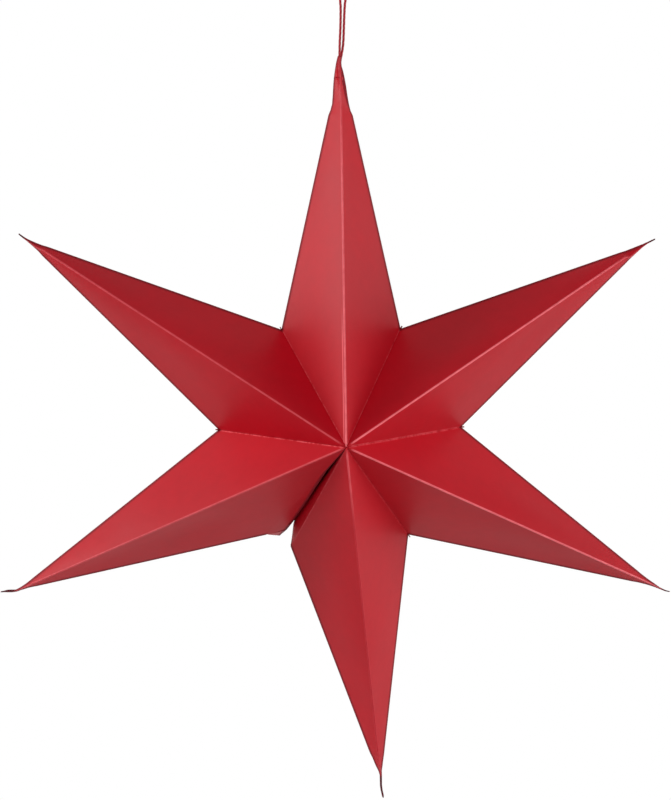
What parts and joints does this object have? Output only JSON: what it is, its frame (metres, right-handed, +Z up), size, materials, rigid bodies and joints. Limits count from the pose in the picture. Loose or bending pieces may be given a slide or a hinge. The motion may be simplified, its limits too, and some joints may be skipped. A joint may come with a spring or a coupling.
{
  "type": "paper christmas star",
  "caption": "Hollow paper star of folded, ridged points glued into a ring, with one open seam and a doubled cord loop to hang it by",
  "frame": {"origin": "inside the top of the cord's loop, where a hook carries the star", "axes": "+Z up along the cord and the top point, the star faces -Y, +X to its right as seen from the front"},
  "size_m": [0.5418, 0.1772, 0.6751],
  "materials": {
    "card": "satin",
    "cord": "braided"
  },
  "bodies": {
    "root": {"point_top": "card", "point_upper_right": "card", "point_lower_right": "card", "point_bottom": "card", "point_lower_left": "card", "point_upper_left": "card", "hanging_cord": "cord", "cord_knot": "cord"}
  },
  "joints": []
}
